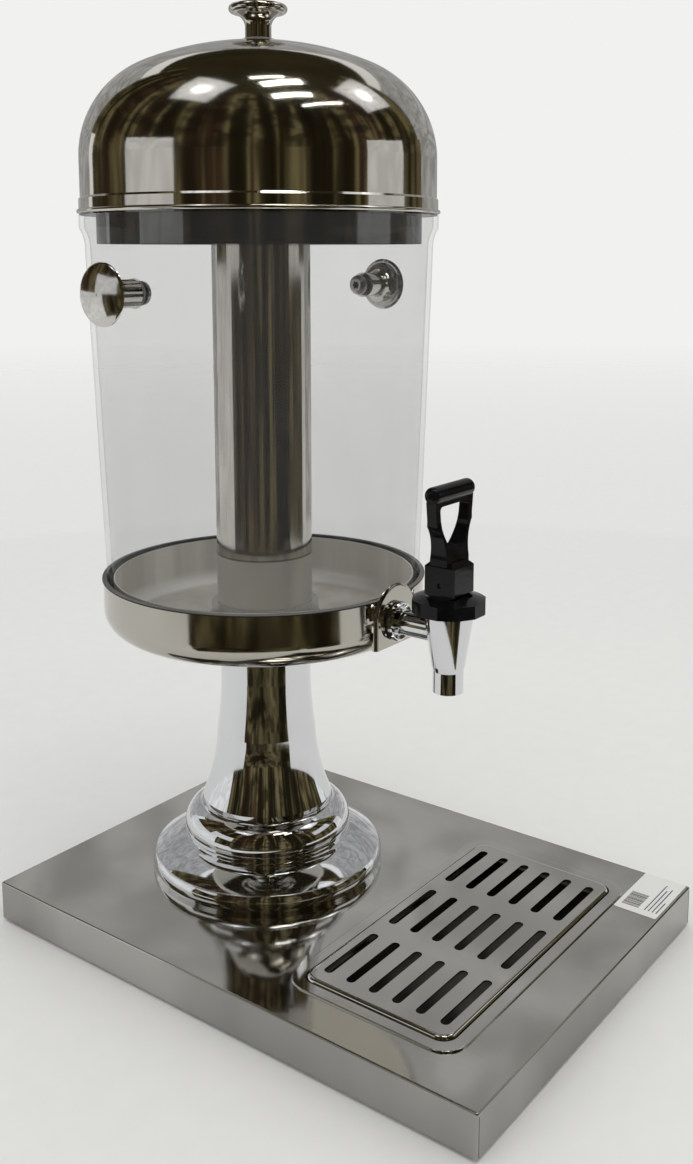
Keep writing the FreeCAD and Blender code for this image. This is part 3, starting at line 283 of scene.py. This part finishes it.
def tube_steel(name, tint):
    """The ice tube: polished above a satin foot, with a fine line between the two."""
    material, tree = new_material(name)
    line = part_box("ice_tube")[0].z + TUBE_SATIN
    level = tree.height()
    satin = tree.maths("LESS_THAN", level, line)
    edge = tree.maths("LESS_THAN", tree.maths("ABSOLUTE", tree.maths("SUBTRACT", level, line)), TUBE_LINE)
    hairs = tree.noise(700, 2, (1, 1, 0.03))
    smudge = tree.ramp(tree.noise(14, 5, rough=0.6), (0.45, 0.0), (0.75, 1.0))
    rough = tree.maths("ADD", tree.maths("MULTIPLY", satin, 0.24), 0.07)
    rough = tree.maths("ADD", rough, tree.maths("MULTIPLY", smudge, 0.05))
    shade = tree.mix(edge, tree.mix(smudge, tint, tuple(0.92 * part for part in tint)), (0.25, 0.25, 0.23))
    normal = tree.bump((tree.noise(6, 1.5, (1, 1, 0.25)), 0.5, 0.0005), (hairs, 0.07, 0.00004))
    tree.finish(Base_Color=shade, Metallic=tree.maths("SUBTRACT", 1.0, tree.maths("MULTIPLY", satin, 0.30)),
                Roughness=rough, Normal=normal)
    return material


def plain_steel(name):
    """Turned fasteners, with faint tool marks."""
    material, tree = new_material(name)
    turned = tree.noise(1400, 2, (1, 1, 6))
    rough = tree.ramp(turned, (0.2, 0.22), (0.8, 0.38))
    tree.finish(Base_Color=tree.mix(turned, (0.50, 0.50, 0.49), (0.40, 0.40, 0.39)), Metallic=1.0,
                Roughness=rough, Normal=tree.bump((turned, 0.12, 0.00005)))
    return material


def black_plastic(name):
    """Gloss moulded plastic: a skin of shallow ripples, and handling marks that dull it."""
    material, tree = new_material(name)
    ripple = tree.noise(160, 3)
    marks = tree.ramp(tree.noise(75, 6, rough=0.7, twist=1.0), (0.45, 0.0), (0.70, 1.0))
    rough = tree.maths("ADD", tree.maths("MULTIPLY", marks, 0.10), 0.09)
    tree.finish(Base_Color=tree.mix(marks, (0.003, 0.003, 0.0035), (0.007, 0.007, 0.008)), Roughness=rough,
                Specular_IOR_Level=0.16, Coat_Weight=0.10, Coat_Roughness=0.05,
                Normal=tree.bump((ripple, 0.22, 0.00025)))
    return material


def black_rubber(name):
    """Dull moulded rubber with a fine grain."""
    material, tree = new_material(name)
    grain = tree.noise(1100, 3)
    tree.finish(Base_Color=tree.mix(grain, (0.010, 0.010, 0.010), (0.030, 0.029, 0.028)),
                Roughness=tree.ramp(grain, (0.2, 0.42), (0.8, 0.62)), Specular_IOR_Level=0.25,
                Normal=tree.bump((grain, 0.25, 0.0001)))
    return material


def seal_rubber(name):
    """The pan's seal: black at its side, and a patchy grey painted highlight along its top."""
    material, tree = new_material(name)
    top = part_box("pan_seal")[1].z - SEAL_TOP
    above = tree.maths("LESS_THAN", top, tree.height())
    grain = tree.noise(1100, 3)
    black = tree.mix(grain, (0.006, 0.006, 0.006), (0.018, 0.018, 0.017))
    # painted highlight: the seal's top is tinted grey in place of black
    painted_top_highlight = tree.mix(tree.noise(16, 3), (0.04, 0.04, 0.038), (0.24, 0.235, 0.22))
    tree.finish(Base_Color=tree.mix(above, black, painted_top_highlight), Roughness=tree.ramp(grain, (0.2, 0.34), (0.8, 0.52)),
                Specular_IOR_Level=0.30, Normal=tree.bump((grain, 0.25, 0.0001)))
    return material


def clear_plastic(name, shade, body, haze):
    """Clear moulding: see-through face on, glossy and denser at a glancing angle, with scratches and haze."""
    material, tree = new_material(name)
    glance = tree.add("ShaderNodeLayerWeight", {"Blend": 0.22}).outputs["Facing"]
    glance = tree.ramp(glance, (0.0, body), (0.55, body * 1.25), (0.86, 0.42), (1.0, 0.88))
    cloud = tree.noise(11, 5, (1, 1, 0.55), rough=0.6, twist=1.4)
    scratch = tree.ramp(tree.noise(300, 4, (1, 1, 0.02), rough=0.7), (0.66, 0.0), (0.74, 1.0))
    dense = tree.maths("ADD", glance, tree.maths("MULTIPLY", tree.maths("SUBTRACT", cloud, 0.5), haze))
    dense = tree.maths("ADD", dense, tree.maths("MULTIPLY", scratch, haze * 0.4))
    dense = tree.maths("MINIMUM", tree.maths("MAXIMUM", dense, 0.02), 1.0)
    tree.finish(Base_Color=tree.mix(cloud, shade, tuple(1.12 * part for part in shade)),
                Roughness=tree.ramp(cloud, (0.3, 0.03), (0.8, 0.09)), IOR=1.585, Alpha=dense,
                Normal=tree.bump((tree.noise(18, 2, (1, 1, 0.4)), 0.25, 0.0006)))
    return material


def label_paper(name):
    """Coated paper, a little uneven where it is stuck down."""
    material, tree = new_material(name)
    fibre = tree.noise(2200, 3)
    tree.finish(Base_Color=tree.mix(fibre, (0.80, 0.80, 0.79), (0.70, 0.70, 0.69)), Roughness=0.48,
                Normal=tree.bump((tree.noise(55, 3), 0.3, 0.0004), (fibre, 0.1, 0.00003)))
    return material


def label_ink(name):
    """Printed ink, not quite black."""
    material, tree = new_material(name)
    speck = tree.noise(3000, 2)
    tree.finish(Base_Color=tree.mix(speck, (0.03, 0.03, 0.03), (0.09, 0.09, 0.09)), Roughness=0.5)
    return material


def seam_and_socket_shade(name):
    """Near black: the closed line of a seam, and painted shade for the hollow of a socket."""
    material, tree = new_material(name)
    mottle = tree.noise(500, 3)
    tree.finish(Base_Color=tree.mix(mottle, (0.015, 0.014, 0.013), (0.04, 0.038, 0.035)), Roughness=0.6)
    return material


steel = polished_steel("polished_steel", STEEL)
base_steel = base_finish("base_steel", STEEL, BASE_WALL_SHADE)
grate_steel = polished_steel("grate_steel", STEEL, 0.05, (1, 0.03, 1), 0.0002)
lid_steel = polished_steel("lid_steel", WARM_STEEL, 0.05)
pan_steel = polished_steel("pan_steel", SATIN_PAN, 0.06, (0.05, 0.05, 1))
# the lid's skirt: polished steel whose dark tint is painted shade
skirt_painted_shade = polished_steel("skirt_painted_shade", PAINTED_SHADE_STEEL, 0.04)
tray_steel = tray_finish("tray_steel", STEEL, TRAY_WELL_SHADE)
chrome = polished_steel("chrome_plating", CHROME, 0.025, (1, 1, 1), 0.00025)
liner_steel = spun_steel("spun_steel", SPUN_STEEL)
ice_tube_steel = tube_steel("ice_tube_steel", WARM_STEEL)
bare_steel = plain_steel("plain_steel")
gloss_black = black_plastic("black_plastic")
rubber = black_rubber("black_rubber")
pan_rubber = seal_rubber("seal_rubber")
clear = clear_plastic("clear_polycarbonate", (0.13, 0.132, 0.135), 0.088, 0.05)
silicone = clear_plastic("clear_silicone", (0.42, 0.42, 0.41), 0.26, 0.10)
paper = label_paper("label_paper")
ink = label_ink("label_ink")
gap = seam_and_socket_shade("seam_and_socket_shade")

FINISHES = {
    base_steel: ("base_shell",),
    grate_steel: ("drip_grate",),
    tray_steel: ("drip_tray",),
    lid_steel: ("lid_dome", "lid_knob"),
    skirt_painted_shade: ("lid_skirt",),
    steel: ("side_knob_left", "side_knob_right"),
    pan_steel: ("pan",),
    liner_steel: ("pan_liner",),
    ice_tube_steel: ("ice_tube",),
    chrome: ("pedestal_foot_ring", "pedestal_collar_ring", "pedestal_neck", "tap_body", "tap_shank_ring"),
    gloss_black: ("tap_bonnet", "tap_handle", "tap_handle_pin"),
    pan_rubber: ("pan_seal",),
    rubber: ("tap_gasket", "rubber_foot_front_left", "rubber_foot_front_right",
             "rubber_foot_rear_left", "rubber_foot_rear_right"),
    clear: ("container",),
    silicone: ("ice_tube_seal", "ice_tube_washer", "tap_seat_cup", "tap_inner_washer", "lid_knob_pad",
               "side_knob_washer_left", "side_knob_washer_right"),
    paper: ("blank_label",),
}


def paint_nodes():
    finish_of = {node: material for material, names in FINISHES.items() for node in names}
    for name, thing in NODES.items():
        material = finish_of.get(name, bare_steel)
        if not thing.material_slots:
            thing.data.materials.append(material)
        for material_slot in thing.material_slots:
            material_slot.material = material


# ---------------------------------------------------------------- mesh pieces

def new_mesh(name, points, faces, material, smooth=False):
    mesh = bpy.data.meshes.new(name)
    mesh.from_pydata([tuple(point) for point in points], [], faces)
    mesh.materials.append(material)
    for face in mesh.polygons:
        face.use_smooth = smooth
    mesh.update()
    thing = bpy.data.objects.new(name, mesh)
    bpy.context.scene.collection.objects.link(thing)
    return thing


def add_box(points, faces, low, high):
    """Adds a closed box between two corners to a mesh's lists."""
    first = len(points)
    for z in (low[2], high[2]):
        points += [(low[0], low[1], z), (high[0], low[1], z), (high[0], high[1], z), (low[0], high[1], z)]
    for ring in ((3, 2, 1, 0), (4, 5, 6, 7), (0, 1, 5, 4), (1, 2, 6, 5), (2, 3, 7, 6), (3, 0, 4, 7)):
        faces.append([first + corner for corner in ring])


def attach(thing, body):
    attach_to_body(thing, body)
    return thing


def corner_seams():
    """The closed gap of each folded corner of the base, a dark upright line on the side faces."""
    low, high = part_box("base_shell")
    width, proud, clear_of_top = 0.0004, 0.00004, 0.0022
    points, faces = [], []
    for x, inward_x in ((low.x, 1), (high.x, -1)):
        for y in (low.y, high.y):
            inward_y = 1 if y == low.y else -1
            start = (x + inward_x * 0.0013, y - inward_y * proud)
            end = (start[0] + inward_x * width, y + inward_y * 0.0002)
            corners = [(min(a, b), max(a, b)) for a, b in zip(start, end)]
            add_box(points, faces, (corners[0][0], corners[1][0], low.z + 0.0006),
                    (corners[0][1], corners[1][1], high.z - clear_of_top))
    attach(new_mesh("corner_seams", points, faces, gap), "stand")


def label_print():
    """Plain bars and rules in place of the sticker's print."""
    low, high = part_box("blank_label")
    top = high.z
    length, depth = high.x - low.x, high.y - low.y
    points, faces = [], []
    across = low.x + 0.12 * length
    widths = (2, 1, 1, 3, 1, 2, 1, 3, 2, 1, 1, 2, 3, 1, 2, 1)
    unit = 0.36 * length / (sum(widths) + 1.4 * len(widths))
    for width in widths:
        add_box(points, faces, (across, low.y + 0.50 * depth, top),
                (across + unit * width, low.y + 0.90 * depth, top + PRINT_THICK))
        across += unit * (width + 1.4)
    for row, share in ((0.34, 0.72), (0.25, 0.60), (0.16, 0.66), (0.07, 0.30)):
        add_box(points, faces, (low.x + 0.12 * length, low.y + row * depth, top),
                (low.x + (0.12 + share) * length, low.y + (row + 0.025) * depth, top + PRINT_THICK))
    attach(new_mesh("label_bars", points, faces, ink), "stand")


def star(centre, along, radius, lobes, steps=60):
    """The outline of a lobed socket in the plane across the X axis."""
    ring = []
    for step in range(steps):
        turn = 2 * math.pi * step / steps
        reach = radius * (0.82 + 0.18 * math.cos(lobes * turn))
        ring.append(Vector((along, centre.y + reach * math.cos(turn), centre.z + reach * math.sin(turn))))
    return ring


def screw_sockets():
    """A lobed socket in the head of each knob's screw, inside the container: a thin dark star of painted
    shade, standing in for its hollow.
    """
    for side, inner in (("left", 1), ("right", -1)):
        low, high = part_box(f"side_screw_{side}")
        centre = (low + high) / 2
        face = high.x if inner > 0 else low.x
        front = star(centre, face + inner * 0.00006, SOCKET_RADIUS, 6)
        back = star(centre, face - inner * 0.0002, SOCKET_RADIUS, 6)
        count = len(front)
        faces = [list(range(count)), list(range(2 * count - 1, count - 1, -1))]
        for step in range(count):
            after = (step + 1) % count
            faces.append([step, count + step, count + after, after])
        if inner < 0:
            faces = [face_points[::-1] for face_points in faces]
        attach(new_mesh(f"screw_socket_{side}", front + back, faces, gap), "container_unit")


def tube_mesh(path, radius, sides=10):
    """Points and faces of a closed tube along a path, with a rounded narrowing at each end."""
    points, faces = [], []
    for number, spot in enumerate(path):
        ahead = path[min(number + 1, len(path) - 1)] - path[max(number - 1, 0)]
        across = ahead.normalized().orthogonal().normalized()
        other = ahead.normalized().cross(across)
        share = math.sin(math.pi * (number + 0.5) / len(path)) ** 0.35
        for side in range(sides):
            turn = 2 * math.pi * side / sides
            points.append(spot + radius * share * (math.cos(turn) * across + math.sin(turn) * other))
    for number in range(len(path) - 1):
        for side in range(sides):
            after = (side + 1) % sides
            first, second = number * sides, (number + 1) * sides
            faces.append([first + side, first + after, second + after, second + side])
    faces.append(list(range(sides))[::-1])
    faces.append([len(points) - sides + side for side in range(sides)])
    return points, faces


def moulding_ribs():
    """Soft ribs where the handle's two legs meet, on its front and back."""
    low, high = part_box("tap_handle")
    middle = (low + high) / 2
    foot = low.z + LOOP_FOOT
    for face, depth in (("front", low.y + RIB_DEPTH), ("back", high.y - RIB_DEPTH)):
        for side in (-1, 1):
            path = [Vector((side * (0.0012 + 0.0066 * share ** 1.4), depth, foot + LOOP_RISE * share))
                    for share in (step / 9 for step in range(10))]
            points, faces = tube_mesh([point + Vector((middle.x, 0, 0)) for point in path], RIB_RADIUS)
            thing = new_mesh(f"handle_rib_{face}_{'left' if side < 0 else 'right'}", points, faces,
                             gloss_black, True)
            attach(thing, "tap_handle_unit")


def land_flares():
    """The pan's wall sweeps out into the tap's flat land in a hollow curve at each side."""
    low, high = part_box("pan")
    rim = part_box("pan_seal")[0].z + RIM_ABOVE_SEAL
    centre = Vector((0, (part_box("ice_tube")[0].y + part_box("ice_tube")[1].y) / 2, 0))
    radius = high.y - centre.y
    for side, name in ((-1, "left"), (1, "right")):
        start = Vector((LAND_HALF - 0.0006, low.y + 0.0013))
        end_x = LAND_HALF + LAND_FLARE
        end = Vector((end_x, centre.y - math.sqrt(radius ** 2 - end_x ** 2)))
        bend = Vector((LAND_HALF + 0.0002, centre.y - math.sqrt(radius ** 2 - LAND_HALF ** 2) + 0.0002))
        points, faces, steps = [], [], 12
        for level in (low.z + LAND_FOOT, rim):
            for step in range(steps + 1):
                share = step / steps
                spot = start * (1 - share) ** 2 + bend * 2 * share * (1 - share) + end * share ** 2
                points.append(Vector((side * spot.x, spot.y, level)))
            points.append(Vector((side * bend.x, bend.y + 0.0005, level)))
        ring = steps + 2
        for step in range(ring):
            after = (step + 1) % ring
            face = [step, after, ring + after, ring + step]
            faces.append(face if side > 0 else face[::-1])
        caps = [list(range(ring))[::-1], list(range(ring, 2 * ring))]
        faces += caps if side > 0 else [cap[::-1] for cap in caps]
        thing = new_mesh(f"land_flare_{name}", points, faces, pan_steel, True)
        thing.data.polygons[-1].use_smooth = thing.data.polygons[-2].use_smooth = False
        attach(thing, "stand")


# ---------------------------------------------------------------- studio

def glow(name, colour_of, strength=1.0):
    """An even light source's material; colour_of(tree) gives its colour."""
    material, tree = new_material(name)
    light = tree.add("ShaderNodeEmission", {"Color": colour_of(tree), "Strength": strength})
    tree.add("ShaderNodeOutputMaterial", {"Surface": light.outputs[0]})
    return material


def reflect_only(thing, lights_room=False):
    """A card that is seen in reflections and not by the camera."""
    thing.visible_camera = False
    thing.visible_diffuse = lights_room
    thing.visible_shadow = False
    return thing


def towards(degrees, reach, z):
    """A point round the object; degrees count from the camera's side towards its right."""
    turn = math.radians(degrees)
    return (TO_CAMERA * math.cos(turn) + TO_RIGHT * math.sin(turn)) * reach + Vector((0, 0, z))


def wall(name, start, end, reach, low, high, material):
    """A stretch of a round wall about the object, between two directions and two heights."""
    steps = max(4, int(abs(end - start) / 4))
    points, faces = [], []
    for step in range(steps + 1):
        turn = start + (end - start) * step / steps
        points += [towards(turn, reach, low), towards(turn, reach, high)]
    for step in range(steps):
        faces.append([2 * step, 2 * step + 2, 2 * step + 3, 2 * step + 1])
    return reflect_only(new_mesh(name, points, faces, material, True))


def card(name, centre, aim, half_x, half_y, material):
    """A flat card with its face towards a point."""
    thing = new_mesh(name, [(-half_x, -half_y, 0), (half_x, -half_y, 0), (half_x, half_y, 0),
                            (-half_x, half_y, 0)], [[0, 1, 2, 3]], material)
    thing.location = centre
    thing.rotation_euler = (Vector(aim) - Vector(centre)).to_track_quat("Z", "Y").to_euler()
    return reflect_only(thing, True)


def ray(degrees, rise):
    """A unit direction, told from the camera's side towards its right and up from level."""
    up = math.radians(rise)
    return towards(degrees, math.cos(up), math.sin(up))


def dark_floor(start, end, near, far, material):
    """Where the table ends and the dim room shows below it, in reflections only."""
    steps = 24
    points, faces = [], []
    for step in range(steps + 1):
        turn = start + (end - start) * step / steps
        points += [towards(turn, near, CARD_ABOVE_FLOOR), towards(turn, far, CARD_ABOVE_FLOOR)]
    for step in range(steps):
        faces.append([2 * step, 2 * step + 1, 2 * step + 3, 2 * step + 2])
    return reflect_only(new_mesh("dark_floor", points, faces, material))


def room_colour(tree):
    """A dim workshop: upright bands of black, olive, brown and ochre."""
    bands = tree.noise(2.6, 3, (1, 1, 0.05), rough=0.62)
    blocks = tree.noise(5.5, 2, (1, 1, 1.1))
    band_colour = tree.ramp(bands, (0.30, (0.002, 0.002, 0.002)), (0.44, (0.020, 0.016, 0.007)),
                            (0.52, (0.18, 0.15, 0.075)), (0.58, (0.05, 0.030, 0.016)),
                            (0.70, (0.006, 0.006, 0.006)))
    return tree.mix(tree.ramp(blocks, (0.42, 0.0), (0.60, 0.75)), band_colour, (0.012, 0.010, 0.006))


def fold_colour(tree, low, high, depth):
    """A pale cloth with soft folds of a given depth, brighter at its foot."""
    folds = tree.noise(2.6, 4, (1.0, 1.0, 2.4), rough=0.5, twist=3.2)
    rise = tree.ramp(tree.height(), (0.12, 1.0), (0.42, 0.0))
    plain = tree.mix(rise, (low, low, low * 0.99), (high, high, high * 0.99))
    return tree.mix(tree.ramp(folds, (0.40, 0.0), (0.60, depth)), plain, (low * 0.5, low * 0.5, low * 0.49))


def softbox_colour(tree):
    """A quilted softbox: bright in its middle, with creases that run outwards."""
    source = tree.add("ShaderNodeTexCoord").outputs["Object"]
    apart = tree.add("ShaderNodeVectorMath", {0: source}, operation="LENGTH").outputs["Value"]
    outwards = tree.maths("MULTIPLY", apart, 3.0)
    fall = tree.ramp(outwards, (0.0, 1.0), (0.14, 0.45), (0.34, 0.13), (0.95, 0.06))
    creases = tree.noise(8, 4, rough=0.7, twist=4.0)
    return tree.mix(tree.ramp(creases, (0.42, 0.0), (0.60, 0.75)), fall, (0.04, 0.04, 0.043))


def make_studio():
    world = bpy.context.scene.world or bpy.data.worlds.new("studio")
    bpy.context.scene.world = world
    tree = Tree(world)
    sky = tree.add("ShaderNodeBackground", {"Color": (*PALE, 1), "Strength": 1.0})
    tree.add("ShaderNodeOutputWorld", {"Surface": sky.outputs[0]})

    floor_material, tree = new_material("pale_floor")
    speck = tree.noise(60, 3)
    colour = tree.mix(speck, (0.80, 0.80, 0.79), (0.84, 0.84, 0.83))
    paint = tree.add("ShaderNodeBsdfPrincipled", {"Base Color": colour, "Roughness": 0.7})
    from_middle = tree.add("ShaderNodeVectorMath", {0: tree.place()}, operation="LENGTH").outputs["Value"]
    fade = tree.ramp(tree.maths("DIVIDE", from_middle, FLOOR_HALF), (0.09, 0.0), (0.55, 1.0))
    away = tree.add("ShaderNodeBsdfTransparent")
    both = tree.add("ShaderNodeMixShader", {0: fade, 1: paint.outputs[0], 2: away.outputs[0]})
    tree.add("ShaderNodeOutputMaterial", {"Surface": both.outputs[0]})
    half = FLOOR_HALF
    floor = new_mesh("floor", [(-half, -half, 0), (half, -half, 0), (half, half, 0), (-half, half, 0)],
                     [[0, 1, 2, 3]], floor_material)

    room = glow("room", room_colour)
    tent = glow("tent", lambda tree: fold_colour(tree, 0.74, 0.95, 0.40))
    cloth = glow("cloth", lambda tree: fold_colour(tree, 0.46, 0.66, 0.75))
    roof = glow("roof", lambda tree: tree.mix(tree.noise(1.4, 2), (0.010, 0.008, 0.004), (0.05, 0.04, 0.018)))
    lamp = glow("lamp", lambda tree: tree.mix(0.0, (1.0, 0.98, 0.90), (1, 1, 1)), 9.0)
    box_light = glow("softbox", softbox_colour, 11.0)

    for name, start, end, reach, low, high, material in (
            ("room_wall", -50, 72, ROOM_REACH, 0.0, TENT_TOP, room),
            ("room_wall_left", -118, -83, ROOM_REACH, FAR_ROOM_FOOT, TENT_TOP, room),
            ("room_wall_right", 103, 126, ROOM_REACH, FAR_ROOM_FOOT, TENT_TOP, room),
            ("room_wall_high", -124, 124, ROOM_REACH, TENT_TOP, ROOM_TOP, room),
            ("room_low_left", -72, -50, TENT_REACH, 0.0, TENT_FOOT, room),
            ("room_low_right", 72, 112, TENT_REACH, 0.0, TENT_FOOT, room),
            ("tent_left", -84, -50, TENT_REACH, TENT_FOOT, TENT_TOP, tent),
            ("tent_right", 72, 104, TENT_REACH, TENT_FOOT, TENT_TOP, tent),
            ("tent_far_left", -126, -72, FAR_TENT_REACH, 0.0, FAR_TENT_TOP, tent),
            ("tent_far_right", 112, 126, FAR_TENT_REACH, 0.0, FAR_TENT_TOP, tent),
            ("back_cloth", 124, 236, CLOTH_REACH, 0.0, CLOTH_TOP, cloth)):
        wall(name, start, end, reach, low, high, material)
    dark_floor(-51, 54, TABLE_EDGE, ROOM_REACH, room)
    card("roof_card", (0, 0, ROOM_TOP), (0, 0, 0), 1.5, 1.5, roof).visible_diffuse = False
    lid = (Vector(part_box("lid_dome")[0]) + Vector(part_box("lid_dome")[1])) / 2
    for name, turn, rise in (("softbox_left", -52, 58), ("softbox_right", 97, 45)):
        card(name, lid + ray(turn, rise) * SOFTBOX_REACH, lid, SOFTBOX_HALF, SOFTBOX_HALF, box_light)
    for number, (turn, rise, long, wide) in enumerate(((34, 70, 0.16, 0.05), (33, 55, 0.17, 0.035),
                                                        (52, 44, 0.20, 0.012), (20, 78, 0.12, 0.02))):
        card(f"roof_lamp_{number}", lid + ray(turn, rise) * ROOM_REACH, lid, long, wide, lamp)


def make_camera():
    data = bpy.data.cameras.new("camera")
    data.lens = FOCAL_MM
    data.sensor_width = SENSOR_MM
    data.shift_x, data.shift_y = SHIFT
    data.clip_start, data.clip_end = 0.01, 100
    thing = bpy.data.objects.new("camera", data)
    thing.location = CAMERA_PLACE
    thing.rotation_euler = Euler((math.radians(90 + CAMERA_PITCH), 0, heading))
    bpy.context.scene.collection.objects.link(thing)
    bpy.context.scene.camera = thing


paint_nodes()
corner_seams()
label_print()
screw_sockets()
moulding_ribs()
land_flares()
make_studio()
make_camera()
bpy.context.scene.view_settings.view_transform = "Standard"
